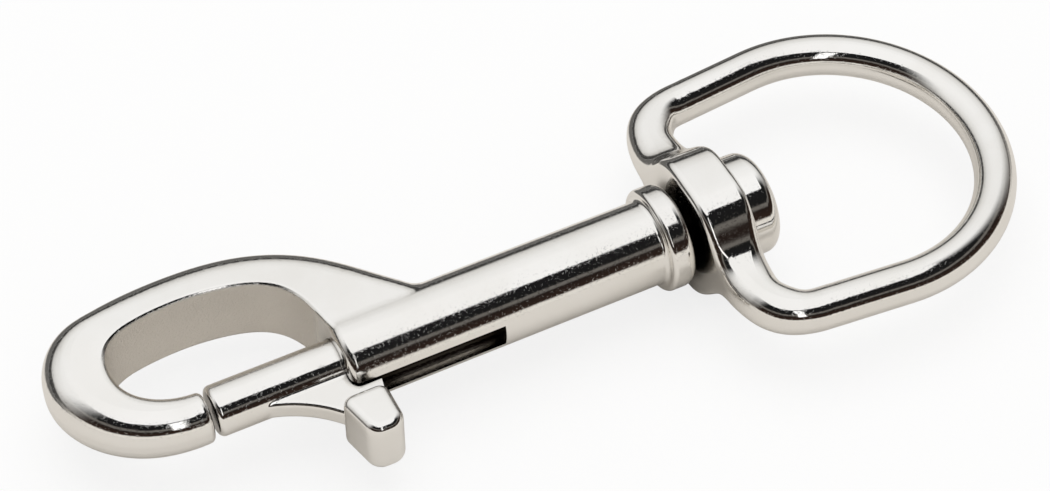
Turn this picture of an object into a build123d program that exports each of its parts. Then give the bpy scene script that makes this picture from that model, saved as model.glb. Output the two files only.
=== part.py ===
from build123d import *
import os
from math import cos, radians, sin, tan

# A swivel-eye bolt snap lying flat, in millimetres and degrees.
# It is built about the barrel's axis, which runs along X towards the eye, with the barrel's front at X 0,
# the hook's bow on the +Y side and the thumb pad on the -Y side, and is then set down on the floor.

# Barrel and its rear bead
barrel_dia = 10.2
barrel_length = 43.2
barrel_front_round = 1.2
bead_dia = 12.6
bead_width = 3.4
bead_front_round = 0.6
bead_cove_round = 0.55
bead_rear_round = 1.4
end_wall = 3.2

# Thumb slot in the near side of the barrel
slot_length = 18.8
slot_width = 3.2

# Bolt, with its web and thumb pad
bolt_dia = 6.0
bolt_running_clearance = 0.06
bolt_tip_round = 0.7
bolt_rear_chamfer = 0.3
bolt_behind_slot = 0.6
bolt_travel = 14.5
web_run = 13.4
web_sink = 0.6
web_side_clearance = 0.3
web_stop_gap = 0.3
web_edge_round = 0.6
web_root_round = 0.7
pad_front = 2.9
pad_root_length = 5.8
pad_tip_length = 4.2
pad_reach = 13.3
pad_root = 7.0
pad_height = 7.6
pad_tip_round = 1.9
pad_root_round = 1.2
pad_edge_round = 1.1

# Hook
hook_reach = 31.0
hook_bow = 18.65
bow_tip_width = 7.2
bow_side_width = 5.75
nose_gap = 0.5
nose_reach_share = 0.5065
nose_outer_half = 2.85
nose_inner_half = 1.95
nose_thickness = 6.3
nose_inner_round = 1.9
nose_end_round = 0.7
bow_thickness = 9.2
hook_hole_round = 0.5
hook_root_round = 3.0
hook_outer_round_share = 0.86

# Swivel eye
hub_gap = 0.7
hub_length = 6.3
hub_height = 15.6
hub_edge_round = 0.9
leg_length = 5.9
leg_height = 5.3
leg_round = 2.4
wire_dia = 5.0
wire_round = 2.45
wire_lead = 3.0
eye_length = 40.15
eye_end_radius = 18.8
eye_corner_radius = 6.0
eye_side_flare = 5.5

# Swivel rivet
rivet_shank_dia = 4.6
rivet_seat_clearance = 0.02
rivet_running_clearance = 0.08
rivet_end_gap = 0.3
rivet_head_dia = 12.4
rivet_head_thickness = 4.0
rivet_head_round = 1.6
rivet_head_front_round = 0.3
rivet_inner_head_thickness = 1.1
rivet_inner_side_gap = 0.2

# Spring
spring_wire_dia = 0.6
spring_side_gap = 0.35
spring_turns = 6
spring_end_gap = 0.05

# Distance by which every cutting shape passes the faces it cuts, and by which an edge may miss its station
overrun = 2.0
touch = 0.01

# Stations round the hook from its nose to its root. Each row gives the hole's edge and the outer edge as
# shares of the hole's and the hook's reach and bow, then how far the thickness and the hole's edge rounding
# have gone from their size at the nose to their size at the bow.
hook_station_shares = [
    (0.774, 0.174, 0.609, -0.153, 0.05, 0.00),
    (0.886, 0.256, 0.742, -0.099, 0.15, 0.15),
    (0.962, 0.380, 0.868, 0.032, 0.30, 0.40),
    (1.000, 0.558, 0.973, 0.271, 0.50, 0.70),
    (0.992, 0.729, 1.000, 0.534, 0.68, 0.90),
    (0.937, 0.868, 0.939, 0.786, 0.84, 1.00),
    (0.828, 0.953, 0.768, 0.941, 0.95, 1.00),
    (0.655, 0.996, 0.535, 0.998, 1.00, 1.00),
    (0.453, 0.988, 0.319, 0.997, 1.00, 1.00),
    (0.269, 0.922, 0.097, 0.922, 1.00, 1.00),
    (0.139, 0.798, -0.087, 0.761, 1.03, 1.00),
    (0.055, 0.589, -0.223, 0.558, 1.08, 1.00),
    (0.013, 0.326, -0.335, 0.354, 1.10, 1.00),
]
hook_tail_reach_share = 0.455
hook_tail_side_share = 0.3

# Sections from the hub's middle to the end of each leg: share of the leg, how far the height has come down
# from the hub to the leg, and how far the edges have rounded from the hub's to the leg's.
hub_section_shares = [
    (0.00, 0.00, 0.00),
    (0.19, 0.01, 0.00),
    (0.34, 0.09, 0.00),
    (0.45, 0.24, 0.03),
    (0.54, 0.43, 0.10),
    (0.63, 0.66, 0.25),
    (0.72, 0.84, 0.50),
    (0.82, 0.94, 0.75),
    (1.00, 1.00, 1.00),
]
corner_section_shares = [0.33, 0.67, 1.0]
lead_section_shares = [0.3, 0.6, 1.0]

# Sizes that follow from those above
barrel_radius = barrel_dia / 2
bolt_radius = bolt_dia / 2
bore_radius = bolt_radius + bolt_running_clearance
bore_depth = barrel_length - end_wall
bead_front = barrel_length - bead_width
bolt_rear = slot_length + bolt_behind_slot
web_thickness = slot_width - 2 * web_side_clearance
web_rear = slot_length - bolt_travel - web_root_round - web_stop_gap
pad_rear = pad_root_length - pad_front
hole_reach = hook_reach - bow_tip_width
hole_bow = hook_bow - bow_side_width
nose_end = -nose_reach_share * hook_reach
bolt_tip = nose_end + nose_gap
hub_front = barrel_length + hub_gap
hub_rear = hub_front + hub_length
hub_middle = hub_front + hub_length / 2
rivet_shank_radius = rivet_shank_dia / 2
rivet_head_front = hub_rear + rivet_end_gap
rivet_inner_face = bore_depth - rivet_inner_head_thickness


def rod(radius, start, end):
    """A round rod on the barrel's axis between two stations."""
    upright = Cylinder(radius, end - start, align=(Align.CENTER, Align.CENTER, Align.MIN))
    return Pos(start, 0, 0) * Rot(0, 90, 0) * upright


def rim(solid, station):
    """The round edges of a rod that lie at a station, the smallest first."""
    circles = solid.edges().filter_by(GeomType.CIRCLE)
    return circles.filter_by_position(Axis.X, station - touch, station + touch).sort_by(SortBy.RADIUS)


def slab(plan, thickness):
    """A flat plate of a plan outline, evenly above and below the axis."""
    return extrude(Plane.XY.offset(-thickness / 2) * plan, thickness, dir=(0, 0, 1))


def between(start, end, share):
    """The value a share of the way from a start to an end."""
    return start + (end - start) * share


def hook_section(hole_edge, outer_edge, thickness, hole_round):
    """An upright slice of the hook with its own roundings at the hole's edge and at the outer edge."""
    across = Vector(*outer_edge) - Vector(*hole_edge)
    width, half = across.length, thickness / 2
    slice_face = make_face(Polyline((0, -half), (width, -half), (width, half), (0, half), close=True))
    slice_face = fillet(slice_face.vertices().group_by(Axis.X)[0], hole_round)
    slice_face = fillet(slice_face.vertices().group_by(Axis.X)[-1], half * hook_outer_round_share)
    return Plane(origin=hole_edge, x_dir=across, z_dir=(across.Y, -across.X, 0)) * slice_face


def hook():
    """The hook, from the nose's end round the bow to its root inside the barrel."""
    sections = [hook_section((nose_end, nose_inner_half), (nose_end, -nose_outer_half),
                             nose_thickness, nose_inner_round)]
    for hole_x, hole_y, outer_x, outer_y, thickening, sharpening in hook_station_shares:
        hole_edge = (-hole_x * hole_reach, hole_y * hole_bow)
        outer_edge = (-outer_x * hook_reach, outer_y * hook_bow)
        thickness = between(nose_thickness, bow_thickness, thickening)
        hole_round = between(nose_inner_round, hook_hole_round, sharpening)
        sections.append(hook_section(hole_edge, outer_edge, thickness, hole_round))
    tail = (hook_tail_reach_share * hook_reach, hook_tail_side_share * barrel_radius)
    sections.append(hook_section((barrel_front_round, 0), tail, thickness, hook_hole_round))
    solid = loft([section.face() for section in sections])
    nose_face = solid.faces().filter_by(GeomType.PLANE).sort_by(Axis.X)[0]
    return fillet(nose_face.edges(), nose_end_round)


def make_body():
    """Hook, barrel and bead cast as one, with the bolt's bore, the thumb slot and the rivet's hole."""
    barrel = rod(barrel_radius, 0, barrel_length)
    barrel = fillet(rim(barrel, 0), barrel_front_round)
    bow = hook()
    body = bow + barrel
    body = fillet(new_edges(bow, barrel, combined=body), hook_root_round)
    bead = rod(bead_dia / 2, bead_front, barrel_length)
    bead = fillet(rim(bead, bead_front), bead_front_round)
    bead = fillet(rim(bead, barrel_length), bead_rear_round)
    body += bead
    body = fillet(rim(body, bead_front)[0], bead_cove_round)
    body -= rod(bore_radius, -overrun, bore_depth)
    body -= rod(rivet_shank_radius + rivet_seat_clearance, bore_depth - overrun, barrel_length + overrun)
    slot = Box(slot_length + overrun, barrel_dia, slot_width, align=(Align.MIN, Align.MAX, Align.CENTER))
    return body - Pos(-overrun, 0, 0) * slot


def make_bolt():
    """The sliding bolt with the web that carries its thumb pad through the slot."""
    bolt = rod(bolt_radius, bolt_tip, bolt_rear)
    bolt = fillet(rim(bolt, bolt_tip), bolt_tip_round)
    bolt = chamfer(rim(bolt, bolt_rear), bolt_rear_chamfer)

    pad_middle = (pad_root + pad_reach) / 2
    web_start = web_sink - bolt_radius
    front_edge = TangentArc((-web_run, web_start), (-pad_front, -pad_root), tangent=(1, 0))
    rest = Polyline((-pad_front, -pad_root), (0, -pad_middle), (pad_rear, -pad_middle), (pad_rear, -pad_root),
                    (web_rear, -barrel_radius), (web_rear, 0), (-web_run, 0), (-web_run, web_start))
    web = slab(make_face(Curve() + [front_edge] + rest.edges()), web_thickness)
    web = fillet(web.edges().filter_by(GeomType.CIRCLE), web_edge_round)
    stem = bolt + web
    stem = fillet(new_edges(bolt, web, combined=stem), web_root_round)

    outline = make_face(Polyline((-pad_front, -pad_root), (pad_rear - pad_tip_length, -pad_reach),
                                 (pad_rear, -pad_reach), (pad_rear, -pad_root), close=True))
    outline = fillet(outline.vertices().group_by(Axis.Y)[0], pad_tip_round)
    outline = fillet(outline.vertices().group_by(Axis.Y)[-1], pad_root_round)
    pad = slab(outline, pad_height)
    pad = fillet(pad.edges().filter_by(Plane.XY), pad_edge_round)
    return stem + pad


def make_spring():
    """The compression coil between the bolt's rear and the rivet's inner head."""
    wire_half = spring_wire_dia / 2
    start = bolt_rear + spring_end_gap + wire_half
    end = rivet_inner_face - spring_end_gap - wire_half
    coil_radius = bore_radius - spring_side_gap - wire_half
    path = Helix((end - start) / spring_turns, end - start, coil_radius)
    section = Plane(origin=path @ 0, z_dir=path % 0) * Circle(wire_half)
    return Pos(start, 0, 0) * Rot(0, 90, 0) * sweep(section, path)


def eye_section(origin, along, width, height, edge_round):
    """An upright slice of the eye across its run."""
    plane = Plane(origin=origin, x_dir=(along.Y, -along.X, 0), z_dir=along)
    return (plane * RectangleRounded(width, height, edge_round)).face()


def make_swivel_eye():
    """Hub, legs and stirrup loop cast as one, with the rivet's hole through the hub."""
    flare = radians(eye_side_flare)
    end_centre = hub_front + eye_length - eye_end_radius
    side_end = Vector(end_centre - eye_end_radius * sin(flare), eye_end_radius * cos(flare))
    corner_y = side_end.Y - (side_end.X - hub_middle) * tan(flare)
    turn = radians(90) - flare
    setback = eye_corner_radius * tan(turn / 2)
    leg_end = corner_y - setback
    side_along = Vector(cos(flare), sin(flare))
    corner_end = Vector(hub_middle, corner_y) + side_along * setback
    side_start = corner_end + side_along * wire_lead

    runs = []
    for place, lowering, rounding in hub_section_shares:
        sizes = (between(hub_length, leg_length, lowering), between(hub_height, leg_height, lowering),
                 between(hub_edge_round, leg_round, rounding))
        runs.append((Vector(hub_middle, place * leg_end), Vector(0, 1), sizes))
    for share in corner_section_shares:
        angle = turn * share
        past_leg = Vector(eye_corner_radius * (1 - cos(angle)), eye_corner_radius * sin(angle))
        place = Vector(hub_middle, leg_end) + past_leg
        sizes = (between(leg_length, wire_dia, share), between(leg_height, wire_dia, share),
                 between(leg_round, wire_round, share))
        runs.append((place, Vector(sin(angle), cos(angle)), sizes))
    for share in lead_section_shares:
        place = corner_end + side_along * wire_lead * share
        runs.append((place, side_along, (wire_dia, wire_dia, wire_round)))

    sections = [eye_section(Vector(place.X, -place.Y), Vector(-along.X, along.Y), *sizes)
                for place, along, sizes in reversed(runs[1:])]
    sections += [eye_section(place, along, *sizes) for place, along, sizes in runs]
    base = loft(sections)

    side = Line(side_start, side_end)
    end = ThreePointArc(side_end, (end_centre + eye_end_radius, 0), (side_end.X, -side_end.Y))
    other_side = Line((side_end.X, -side_end.Y), (side_start.X, -side_start.Y))
    loop = sweep(sections[-1], Wire([side, end, other_side]))
    rivet_hole = rod(rivet_shank_radius + rivet_running_clearance, hub_front - overrun, hub_rear + overrun)
    return base + loop - rivet_hole


def make_swivel_rivet():
    """The rivet that holds the eye: inner head in the bore, shank through wall and hub, button head."""
    rivet = rod(bore_radius - rivet_inner_side_gap, rivet_inner_face, bore_depth)
    rivet += rod(rivet_shank_radius, bore_depth, rivet_head_front)
    head_rear = rivet_head_front + rivet_head_thickness
    head = rod(rivet_head_dia / 2, rivet_head_front, head_rear)
    head = fillet(rim(head, head_rear), rivet_head_round)
    head = fillet(rim(head, rivet_head_front), rivet_head_front_round)
    return rivet + head


pieces = {
    "body": make_body(),
    "bolt": make_bolt(),
    "spring": make_spring(),
    "swivel_eye": make_swivel_eye(),
    "swivel_rivet": make_swivel_rivet(),
}

# The finished snap is moved so that the middle of its underside is at the origin.
boxes = [piece.bounding_box() for piece in pieces.values()]
middle_x = (min(box.min.X for box in boxes) + max(box.max.X for box in boxes)) / 2
middle_y = (min(box.min.Y for box in boxes) + max(box.max.Y for box in boxes)) / 2
lowest = min(box.min.Z for box in boxes)
set_down = Pos(-middle_x, -middle_y, -lowest)
os.makedirs("parts", exist_ok=True)
for name, piece in pieces.items():
    export_step(set_down * piece, f"parts/{name}.step")
print("axis at", set_down.position)
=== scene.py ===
# %% [markdown]
# # A bolt snap in polished nickel
# The snap is a cast hook with a barrel, a spring-loaded bolt that slides in it, and an eye that turns on
# a rivet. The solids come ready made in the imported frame, so this lesson gives them their finish, adds
# the coil spring that the bolt squeezes, and sets up the small studio in which polished metal looks like
# polished metal.

# %% Load the frame
from math import cos, pi, radians, sin, tan

import bmesh
import bpy
from mathutils import Matrix, Vector


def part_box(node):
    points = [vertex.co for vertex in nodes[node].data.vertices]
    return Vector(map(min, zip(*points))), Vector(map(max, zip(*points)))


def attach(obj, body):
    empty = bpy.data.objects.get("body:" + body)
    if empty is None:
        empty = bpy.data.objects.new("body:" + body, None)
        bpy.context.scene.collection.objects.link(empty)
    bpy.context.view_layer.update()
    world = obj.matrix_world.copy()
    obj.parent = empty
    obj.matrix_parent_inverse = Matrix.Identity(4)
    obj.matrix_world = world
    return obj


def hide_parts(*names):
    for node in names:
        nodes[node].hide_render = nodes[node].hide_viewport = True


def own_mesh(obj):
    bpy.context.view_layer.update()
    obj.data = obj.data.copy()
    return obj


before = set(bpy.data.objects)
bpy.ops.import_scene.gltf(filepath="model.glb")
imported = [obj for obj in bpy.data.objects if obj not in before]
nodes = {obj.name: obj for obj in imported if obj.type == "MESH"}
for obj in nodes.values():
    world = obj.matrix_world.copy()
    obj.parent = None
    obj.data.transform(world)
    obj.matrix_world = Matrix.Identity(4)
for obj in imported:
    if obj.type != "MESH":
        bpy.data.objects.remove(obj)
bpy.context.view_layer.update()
print("pieces in the frame:", sorted(nodes))

# %% [markdown]
# ## Measures
# The barrel's axis is the line everything turns and slides on, so its height is read from the rivet,
# which is round about it. Reading sizes from the frame keeps the scene right when the solids change.

# %% Find the barrel's axis
rivet_low, rivet_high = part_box("swivel_rivet")
axis_height = (rivet_low.z + rivet_high.z) / 2
print("barrel axis at height", round(axis_height, 5), "m")

# %% [markdown]
# ## Short ways to build node trees
# A material is a tree of nodes, and most steps in it are the same few: a sum, a blend, or a value spread
# from one range to another. A small function for each keeps the materials below readable.

# %% Helpers for node trees
def add_node(tree, kind, **inputs):
    """A new node of a kind, with values for its named inputs."""
    node = tree.nodes.new(kind)
    for name, value in inputs.items():
        node.inputs[name.replace("_", " ")].default_value = value
    return node


def connect(tree, source, socket):
    """Join a socket to a source socket, or set it to a plain value."""
    if isinstance(source, bpy.types.NodeSocket):
        tree.links.new(source, socket)
    else:
        socket.default_value = source


def join(tree, kind, *sources):
    """A math node of a kind with its inputs joined to sockets or set to numbers, as its output."""
    node = tree.nodes.new("ShaderNodeMath")
    node.operation = kind
    for number, source in enumerate(sources):
        connect(tree, source, node.inputs[number])
    return node.outputs[0]


def spread(tree, value, low, high, to_low=0.0, to_high=1.0, shape="SMOOTHSTEP"):
    """A value spread from one range to another."""
    node = add_node(tree, "ShaderNodeMapRange", From_Min=low, From_Max=high, To_Min=to_low, To_Max=to_high)
    node.interpolation_type = shape
    tree.links.new(value, node.inputs["Value"])
    return node.outputs["Result"]


def mix(tree, share, first, second, kind="FLOAT"):
    """A blend of two values or colours by a share."""
    node = tree.nodes.new("ShaderNodeMix")
    node.data_type = kind
    sockets = [socket for socket in node.inputs if socket.enabled]
    for socket, source in zip(sockets, (share, first, second)):
        connect(tree, source, socket)
    return next(socket for socket in node.outputs if socket.enabled)


def new_group(name, inputs, outputs):
    """An empty shader node group with float or vector sockets."""
    group = bpy.data.node_groups.new(name, "ShaderNodeTree")
    for socket, kind, value in inputs:
        made = group.interface.new_socket(socket, in_out="INPUT", socket_type=kind)
        if value is not None:
            made.default_value = value
    for socket, kind in outputs:
        group.interface.new_socket(socket, in_out="OUTPUT", socket_type=kind)
    return group, group.nodes.new("NodeGroupInput"), group.nodes.new("NodeGroupOutput")


# %% [markdown]
# ## Polished, plated metal
# Nickel plate over a casting is nearly a mirror, but not quite. The casting under it leaves a faint
# orange peel, and the buffing wheel leaves a fine grain and a few pits. All pieces share this effect, so
# it is made once as a node group that puts out a height for the bump and the grain itself for the
# roughness.

# %% The grain that casting and buffing leave
pits_from = 0.58
pits_full = 0.68
grain_group, grain_in, grain_out = new_group(
    "buffed_grain",
    [("Vector", "NodeSocketVector", None), ("Peel Scale", "NodeSocketFloat", 500.0),
     ("Grain Scale", "NodeSocketFloat", 3400.0), ("Grain Share", "NodeSocketFloat", 0.3),
     ("Pit Depth", "NodeSocketFloat", 0.32)],
    [("Height", "NodeSocketFloat"), ("Grain", "NodeSocketFloat")],
)
peel = add_node(grain_group, "ShaderNodeTexNoise", Detail=2.0, Roughness=0.5)
grain = add_node(grain_group, "ShaderNodeTexNoise", Detail=3.0, Roughness=0.6)
for noise, scale in ((peel, "Peel Scale"), (grain, "Grain Scale")):
    grain_group.links.new(grain_in.outputs["Vector"], noise.inputs["Vector"])
    grain_group.links.new(grain_in.outputs[scale], noise.inputs["Scale"])
surface = mix(grain_group, grain_in.outputs["Grain Share"], peel.outputs["Fac"], grain.outputs["Fac"])
pits = spread(grain_group, grain.outputs["Fac"], pits_from, pits_full)
pit_depth = join(grain_group, "MULTIPLY", pits, grain_in.outputs["Pit Depth"])
grain_group.links.new(join(grain_group, "SUBTRACT", surface, pit_depth), grain_out.inputs["Height"])
grain_group.links.new(grain.outputs["Fac"], grain_out.inputs["Grain"])

# %% [markdown]
# Handling leaves cloudy patches on the polish, much larger than the grain. They are a second group, whose
# mask blends two colours and two roughnesses.

# %% The cloudy patches that handling leaves
clouds_from = 0.35
clouds_full = 0.65
cloud_group, cloud_in, cloud_out = new_group(
    "handling_clouds",
    [("Vector", "NodeSocketVector", None), ("Scale", "NodeSocketFloat", 90.0)],
    [("Mask", "NodeSocketFloat")],
)
cloud = add_node(cloud_group, "ShaderNodeTexNoise", Detail=4.0, Roughness=0.55, Distortion=0.4)
cloud_group.links.new(cloud_in.outputs["Vector"], cloud.inputs["Vector"])
cloud_group.links.new(cloud_in.outputs["Scale"], cloud.inputs["Scale"])
cloud_mask = spread(cloud_group, cloud.outputs["Fac"], clouds_from, clouds_full, shape="LINEAR")
cloud_group.links.new(cloud_mask, cloud_out.inputs["Mask"])
print("effects:", [group.name for group in (grain_group, cloud_group)])

# %% [markdown]
# An ambient occlusion node finds the crevices, the gaps between pieces and the undersides near the table,
# and darkens the colour there toward a near black: painted shade. The wall of the hook's hole isn't buffed
# at all, so it stays satin, and a mask picks it by place and direction.

# %% A plated metal from those effects
cloud_rough_share = 0.4
rough_from = 0.3
rough_full = 0.7
# Painted shade in crevices and gaps: how far the occlusion looks, its near-black colour, and the occlusion
# range over which it fades in.
painted_shade_reach = 0.004
painted_shade_colour = (0.10, 0.088, 0.075, 1)
shade_full_below = 0.28
shade_gone_above = 0.72
satin_colour = (0.90, 0.865, 0.815, 1)
satin_roughness = 0.36
satin_grain = 8.0
recess_inner_share = 0.92
level_facing = 0.75
upright_facing = 0.3


def recess_mask(tree, place, centre, half):
    """A mask of 1 on the upright walls inside an ellipse, from its centre and its half sizes."""
    inside = add_node(tree, "ShaderNodeMapping", Location=[-c / h for c, h in zip(centre, half)],
                      Scale=[1 / h for h in half])
    distance = tree.nodes.new("ShaderNodeVectorMath")
    distance.operation = "LENGTH"
    facing = tree.nodes.new("ShaderNodeSeparateXYZ")
    tree.links.new(place.outputs["Object"], inside.inputs["Vector"])
    tree.links.new(inside.outputs["Vector"], distance.inputs[0])
    tree.links.new(place.outputs["Normal"], facing.inputs["Vector"])
    within = spread(tree, distance.outputs["Value"], 1.0, recess_inner_share)
    upright = spread(tree, join(tree, "ABSOLUTE", facing.outputs["Z"]), level_facing, upright_facing)
    return join(tree, "MULTIPLY", within, upright)


def plated_metal(name, clean, clouded, rough_low, rough_high, bump, grain_share=0.3, recess=None):
    """A metal between two colours and roughnesses, with casting marks, painted shade in crevices and perhaps
    a recess.
    """
    material = bpy.data.materials.new(name)
    material.use_nodes = True
    tree = material.node_tree
    shader = tree.nodes["Principled BSDF"]
    shader.inputs["Metallic"].default_value = 1.0
    place = tree.nodes.new("ShaderNodeTexCoord")
    marks = tree.nodes.new("ShaderNodeGroup")
    marks.node_tree = grain_group
    marks.inputs["Grain Share"].default_value = grain_share
    clouds = tree.nodes.new("ShaderNodeGroup")
    clouds.node_tree = cloud_group
    tree.links.new(place.outputs["Object"], marks.inputs["Vector"])
    tree.links.new(place.outputs["Object"], clouds.inputs["Vector"])
    cloudy, grainy, height = clouds.outputs["Mask"], marks.outputs["Grain"], marks.outputs["Height"]

    colour = mix(tree, cloudy, (*clean, 1), (*clouded, 1), "RGBA")
    uneven = mix(tree, cloud_rough_share, grainy, cloudy)
    rough = spread(tree, uneven, rough_from, rough_full, rough_low, rough_high)
    if recess:
        satin = recess_mask(tree, place, *recess)
        colour = mix(tree, satin, colour, satin_colour, "RGBA")
        rough = mix(tree, satin, rough, satin_roughness)
        height = join(tree, "MULTIPLY_ADD", join(tree, "MULTIPLY", satin, satin_grain), grainy, height)
    # Painted shade: the colour darkens toward a near black where ambient occlusion finds crevices, gaps and
    # the table close by.
    occlusion = add_node(tree, "ShaderNodeAmbientOcclusion", Distance=painted_shade_reach)
    unshaded_share = spread(tree, occlusion.outputs["AO"], shade_full_below, shade_gone_above)
    colour = mix(tree, unshaded_share, painted_shade_colour, colour, "RGBA")
    bumps = add_node(tree, "ShaderNodeBump", Strength=1.0, Distance=bump)
    tree.links.new(colour, shader.inputs["Base Color"])
    tree.links.new(rough, shader.inputs["Roughness"])
    tree.links.new(height, bumps.inputs["Height"])
    tree.links.new(bumps.outputs["Normal"], shader.inputs["Normal"])
    return material


# %% [markdown]
# ## One finish for each piece
# All four large pieces are nickel, yet they were made differently. The body and the eye are castings that
# were buffed, so they keep some orange peel. The bolt slides in its bore, which keeps it a little
# smoother. The rivet's head was pressed in a die and is the smoothest.

# %% Give the solids their finish
nickel = (0.90, 0.887, 0.865)
dull_nickel = (0.86, 0.843, 0.812)
pressed_nickel = (0.92, 0.91, 0.89)
dull_pressed_nickel = (0.885, 0.87, 0.84)
hook_hole_centre = (-0.0403, 0.0065, axis_height)
hook_hole_half = (0.0132, 0.0083, 1.0)
finishes = {
    "body": plated_metal("buffed_casting_nickel", nickel, dull_nickel, rough_low=0.045, rough_high=0.10,
                         bump=1.42e-5, recess=(hook_hole_centre, hook_hole_half)),
    "bolt": plated_metal("sliding_bolt_nickel", nickel, dull_nickel, rough_low=0.045, rough_high=0.09,
                         bump=1.2e-5),
    "swivel_eye": plated_metal("bright_casting_nickel", nickel, dull_nickel, rough_low=0.04, rough_high=0.08,
                               bump=1.05e-5),
    "swivel_rivet": plated_metal("pressed_head_nickel", pressed_nickel, dull_pressed_nickel, rough_low=0.04,
                                 rough_high=0.08, bump=0.7e-5),
}
for name, finish in finishes.items():
    nodes[name].data.materials.clear()
    nodes[name].data.materials.append(finish)
    print(name, "is", finish.name)

# %% [markdown]
# ## The spring
# Behind the bolt a coil spring pushes it shut. It is hidden in the barrel, and in the real snap it shortens
# as the bolt comes back; here it keeps its length. A ring of wire is spun along a helix with the spin
# operator.

# %% Wind the spring
spring_low, spring_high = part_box("spring")
wire_radius = 0.0003
coil_turns = 6
steps_per_turn = 40
wire_sides = 10
spring_steel = (0.50, 0.49, 0.48)
dull_spring_steel = (0.42, 0.41, 0.40)
coil_start = spring_low.x + wire_radius
coil_end = spring_high.x - wire_radius
coil_radius = (spring_high.z - spring_low.z) / 2 - wire_radius

bm = bmesh.new()
wire_end = bmesh.ops.create_circle(bm, segments=wire_sides, radius=wire_radius, cap_ends=True)["verts"]
bmesh.ops.rotate(bm, verts=wire_end, cent=(0, 0, 0), matrix=Matrix.Rotation(pi / 2, 3, "X"))
bmesh.ops.translate(bm, verts=wire_end, vec=(coil_start, 0, axis_height + coil_radius))
steps = coil_turns * steps_per_turn
bmesh.ops.spin(
    bm, geom=bm.faces[:] + bm.edges[:] + bm.verts[:], cent=(coil_start, 0, axis_height), axis=(1, 0, 0),
    dvec=((coil_end - coil_start) / steps, 0, 0), angle=2 * pi * coil_turns, steps=steps,
    use_merge=False, use_duplicate=False, use_normal_flip=False,
)
bmesh.ops.recalc_face_normals(bm, faces=bm.faces)
coil_mesh = bpy.data.meshes.new("coil_spring")
bm.to_mesh(coil_mesh)
bm.free()
coil_mesh.polygons.foreach_set("use_smooth", [True] * len(coil_mesh.polygons))
coil = bpy.data.objects.new("coil_spring", coil_mesh)
bpy.context.scene.collection.objects.link(coil)
coil_mesh.materials.append(
    plated_metal("spring_steel_wire", spring_steel, dull_spring_steel, rough_low=0.22, rough_high=0.38,
                 bump=1.0e-5, grain_share=0.6)
)
print("spring:", len(coil_mesh.polygons), "faces,", coil_turns, "turns")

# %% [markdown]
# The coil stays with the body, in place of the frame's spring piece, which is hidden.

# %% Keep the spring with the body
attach(coil, "snap_body")
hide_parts("spring")
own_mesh(coil)

# %% [markdown]
# ## The studio
# A mirror shows its surroundings, so the surroundings are the material's other half. The snap lies on a
# pale table under a white ceiling. The table glows only for rays by which it is seen, so the background
# is white while the snap's own shadow stays on it and no more light falls on the snap.

# %% Pale floor
matte_roughness = 0.9
floor_half = 2.0
floor_glow_share = 0.8
floor_drop = 0.0004
floor_colour = (0.95, 0.945, 0.935, 1)


def seen_rays(tree):
    """A value of 1 for rays that see a surface, straight or in a mirror or glass, and 0 for its light."""
    rays = tree.nodes.new("ShaderNodeLightPath")
    straight_or_mirror = join(tree, "MAXIMUM", rays.outputs["Is Camera Ray"], rays.outputs["Is Glossy Ray"])
    return join(tree, "MAXIMUM", straight_or_mirror, rays.outputs["Is Transmission Ray"])


def matte_paint(name):
    """A paint without shine, with its node tree and its shader."""
    paint = bpy.data.materials.new(name)
    paint.use_nodes = True
    shader = paint.node_tree.nodes["Principled BSDF"]
    shader.inputs["Roughness"].default_value = matte_roughness
    shader.inputs["Specular IOR Level"].default_value = 0.0
    return paint, paint.node_tree, shader


def stage_object(name, bm, material):
    """An object of the studio from a bmesh, which isn't part of the snap."""
    mesh = bpy.data.meshes.new(name)
    bm.to_mesh(mesh)
    bm.free()
    mesh.materials.append(material)
    made = bpy.data.objects.new(name, mesh)
    bpy.context.scene.collection.objects.link(made)
    return made


floor_paint, tree, floor_shader = matte_paint("pale_table")
floor_shader.inputs["Base Color"].default_value = floor_colour
floor_glow = add_node(tree, "ShaderNodeEmission", Strength=1.0)
floor_mix = tree.nodes.new("ShaderNodeMixShader")
tree.links.new(join(tree, "MULTIPLY", seen_rays(tree), floor_glow_share), floor_mix.inputs["Fac"])
tree.links.new(floor_shader.outputs["BSDF"], floor_mix.inputs[1])
tree.links.new(floor_glow.outputs["Emission"], floor_mix.inputs[2])
tree.links.new(floor_mix.outputs["Shader"], tree.nodes["Material Output"].inputs["Surface"])
bm = bmesh.new()
bmesh.ops.create_grid(bm, x_segments=1, y_segments=1, size=floor_half,
                      matrix=Matrix.Translation((0, 0, -floor_drop)))
stage_object("table", bm, floor_paint)

# %% [markdown]
# A beige card lies on the table round the snap and warms the undersides. Its far half is dark, which
# draws the line along the snap's far edges. It shows only in reflections, so the camera still sees a pale
# table.

# %% Card on the table that only reflections see
card_radius = 0.5
card_sides = 64
card_colour = (0.77, 0.735, 0.685, 1)
card_far_colour = (0.14, 0.136, 0.13, 1)
card_far_from = 0.028
card_far_full = 0.038


def show_only_in_reflections(made):
    """Hide an object from the camera and keep it from lighting or shading the table."""
    made.visible_camera = False
    made.visible_diffuse = False
    made.visible_shadow = False


card_paint, tree, card_shader = matte_paint("beige_card")
card_place = tree.nodes.new("ShaderNodeTexCoord")
card_along = tree.nodes.new("ShaderNodeSeparateXYZ")
tree.links.new(card_place.outputs["Object"], card_along.inputs["Vector"])
farness = spread(tree, card_along.outputs["Y"], card_far_from, card_far_full)
tree.links.new(mix(tree, farness, card_colour, card_far_colour, "RGBA"), card_shader.inputs["Base Color"])
bm = bmesh.new()
bmesh.ops.create_circle(bm, segments=card_sides, radius=card_radius, cap_ends=True,
                        matrix=Matrix.Translation((0, 0, -floor_drop / 2)))
card = stage_object("card", bm, card_paint)
show_only_in_reflections(card)

# %% [markdown]
# A ring of curtain stands round the table. On the camera's side it is dark up to a good height, with one
# paler streak, which draws the dark bands along the near flanks. On the far side only its foot is dark,
# and above that it pales step by step, so the tops keep a soft shade. The shades are given by their angle
# above the table.

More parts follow.
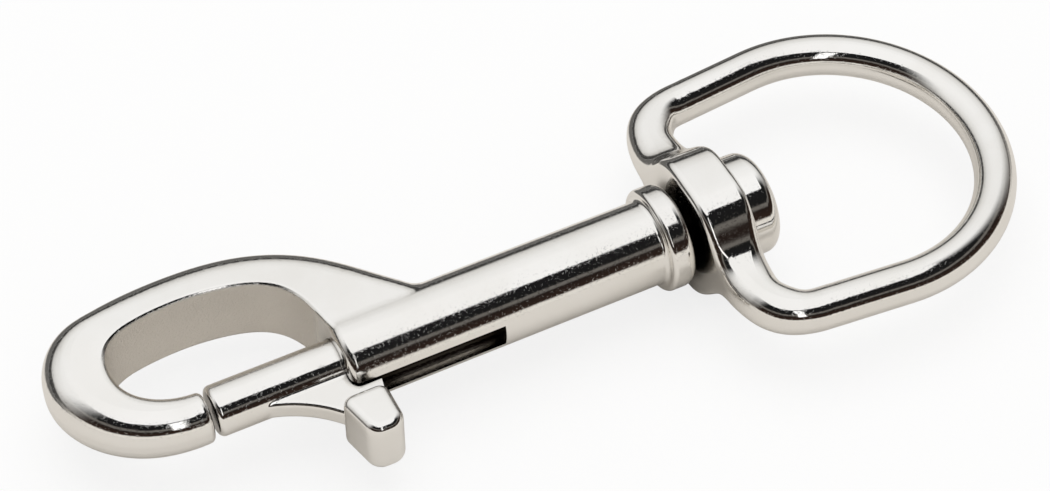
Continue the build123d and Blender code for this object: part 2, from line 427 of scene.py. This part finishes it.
# %% Shaded curtain that only reflections see
curtain_radius = 0.6
curtain_sides = 180
curtain_facing = radians(-88)
curtain_top = tan(radians(62))
curtain_full_within = cos(radians(76))
curtain_gone_beyond = cos(radians(122))
near_shades = [
    (0, (0.80, 0.765, 0.71)), (7, (0.80, 0.765, 0.71)), (11, (0.030, 0.018, 0.013)),
    (28, (0.018, 0.012, 0.010)), (32, (0.15, 0.14, 0.128)), (36, (0.15, 0.14, 0.128)),
    (39, (0.011, 0.011, 0.011)), (62, (0.012, 0.012, 0.013)),
]
far_shades = [
    (0, (0.05, 0.049, 0.048)), (11, (0.06, 0.059, 0.057)), (16, (0.60, 0.59, 0.57)),
    (27, (0.80, 0.795, 0.78)), (42, (0.92, 0.92, 0.915)), (62, (1, 1, 1)),
]
curtain_paint = bpy.data.materials.new("dark_curtain")
curtain_paint.use_nodes = True
tree = curtain_paint.node_tree
tree.nodes.remove(tree.nodes["Principled BSDF"])
curtain_place = tree.nodes.new("ShaderNodeTexCoord")
curtain_up = tree.nodes.new("ShaderNodeSeparateXYZ")
toward = tree.nodes.new("ShaderNodeVectorMath")
toward.operation = "DOT_PRODUCT"
toward.inputs[1].default_value = Vector((cos(curtain_facing), sin(curtain_facing), 0)) / curtain_radius
tree.links.new(curtain_place.outputs["Object"], curtain_up.inputs["Vector"])
tree.links.new(curtain_place.outputs["Object"], toward.inputs[0])
rise = join(tree, "DIVIDE", curtain_up.outputs["Z"], curtain_radius * curtain_top)


def shade_ramp(tree, rise, shades):
    """A colour that changes with the height on the curtain, from pairs of an angle and a shade."""
    node = tree.nodes.new("ShaderNodeValToRGB")
    elements = node.color_ramp.elements
    for angle, shade in shades[1:-1]:
        elements.new(tan(radians(angle)) / curtain_top).color = (*shade, 1)
    elements[0].color = (*shades[0][1], 1)
    elements[-1].color = (*shades[-1][1], 1)
    tree.links.new(rise, node.inputs["Fac"])
    return node.outputs["Color"]


nearness = spread(tree, toward.outputs["Value"], curtain_gone_beyond, curtain_full_within)
far_shade = shade_ramp(tree, rise, far_shades)
near_shade = shade_ramp(tree, rise, near_shades)
curtain_shade = mix(tree, nearness, far_shade, near_shade, "RGBA")
curtain_glow = add_node(tree, "ShaderNodeEmission", Strength=1.0)
tree.links.new(curtain_shade, curtain_glow.inputs["Color"])
tree.links.new(curtain_glow.outputs["Emission"], tree.nodes["Material Output"].inputs["Surface"])

bm = bmesh.new()
bmesh.ops.create_circle(bm, segments=curtain_sides, radius=curtain_radius)
wall = bmesh.ops.extrude_edge_only(bm, edges=bm.edges[:])
rail = [item for item in wall["geom"] if isinstance(item, bmesh.types.BMVert)]
bmesh.ops.translate(bm, verts=rail, vec=(0, 0, curtain_radius * curtain_top))
curtain = stage_object("curtain", bm, curtain_paint)
show_only_in_reflections(curtain)

# %% [markdown]
# The ceiling and everything beyond the curtain are the world's plain white. For light it is dimmer than
# it looks, so that the lamps can shape the shadow.

# %% White surroundings
world_light = 0.6
world_seen = 1.0
world = bpy.data.worlds.new("white_studio")
bpy.context.scene.world = world
world.use_nodes = True
tree = world.node_tree
background = tree.nodes["Background"]
background.inputs["Color"].default_value = (1, 1, 1, 1)
tree.links.new(mix(tree, seen_rays(tree), world_light, world_seen), background.inputs["Strength"])

# %% [markdown]
# A wide softbox overhead lights the table and casts the faint shadow. It would show as a hard square in
# the polish, so reflections don't see it. A narrow lamp beside the camera adds the small bright glints in
# the dark bands.

# %% A softbox overhead and a small lamp beside the camera
def lamp(name, azimuth, elevation, distance, width, height, radiance):
    """A soft panel that faces the snap from a direction."""
    panel = bpy.data.lights.new(name, "AREA")
    panel.shape = "RECTANGLE"
    panel.size = width
    panel.size_y = height
    panel.energy = radiance * pi * width * height
    made = bpy.data.objects.new(name, panel)
    away = Vector((cos(azimuth) * cos(elevation), sin(azimuth) * cos(elevation), sin(elevation)))
    made.location = away * distance
    made.rotation_euler = away.to_track_quat("Z", "Y").to_euler()
    made.visible_camera = False
    bpy.context.scene.collection.objects.link(made)
    return made


softbox = lamp("softbox", azimuth=radians(70), elevation=radians(74), distance=0.95, width=1.0, height=1.0,
               radiance=1.45)
softbox.visible_glossy = False
side_lamp = lamp("side_lamp", azimuth=radians(-99), elevation=radians(42), distance=0.5, width=0.08,
                 height=0.30, radiance=1.2)
print("lamps:", softbox.name, side_lamp.name)

# %% [markdown]
# ## The camera
# The snap was photographed from above its thumb side with a fairly long lens. The camera is placed by its
# angles, and the lens by the image's width.

# %% Set the camera
image_width = 1050
sensor_width = 36.0
focal_pixels = 2700.4
nearest_seen = 0.01
camera_elevation = radians(50.0105)
camera_azimuth = radians(26.508)
camera_roll = radians(0.1808)
camera_place = Vector((-0.09126, -0.17479, 0.24864))

camera = bpy.data.cameras.new("photo_camera")
camera.sensor_fit = "HORIZONTAL"
camera.sensor_width = sensor_width
camera.lens = focal_pixels * sensor_width / image_width
camera.clip_start = nearest_seen
camera_object = bpy.data.objects.new("photo_camera", camera)
look = Vector((sin(camera_azimuth) * cos(camera_elevation), cos(camera_azimuth) * cos(camera_elevation),
               -sin(camera_elevation)))
level_right = Vector((cos(camera_azimuth), -sin(camera_azimuth), 0))
level_down = look.cross(level_right)
right = level_right * cos(camera_roll) + level_down * sin(camera_roll)
down = level_down * cos(camera_roll) - level_right * sin(camera_roll)
turn = Matrix((right, -down, -look)).transposed().to_4x4()
camera_object.matrix_world = Matrix.Translation(camera_place) @ turn
bpy.context.scene.collection.objects.link(camera_object)
bpy.context.scene.camera = camera_object
bpy.context.scene.view_settings.view_transform = "Standard"
print("camera at", [round(value, 4) for value in camera_object.location], "lens", round(camera.lens, 1), "mm")
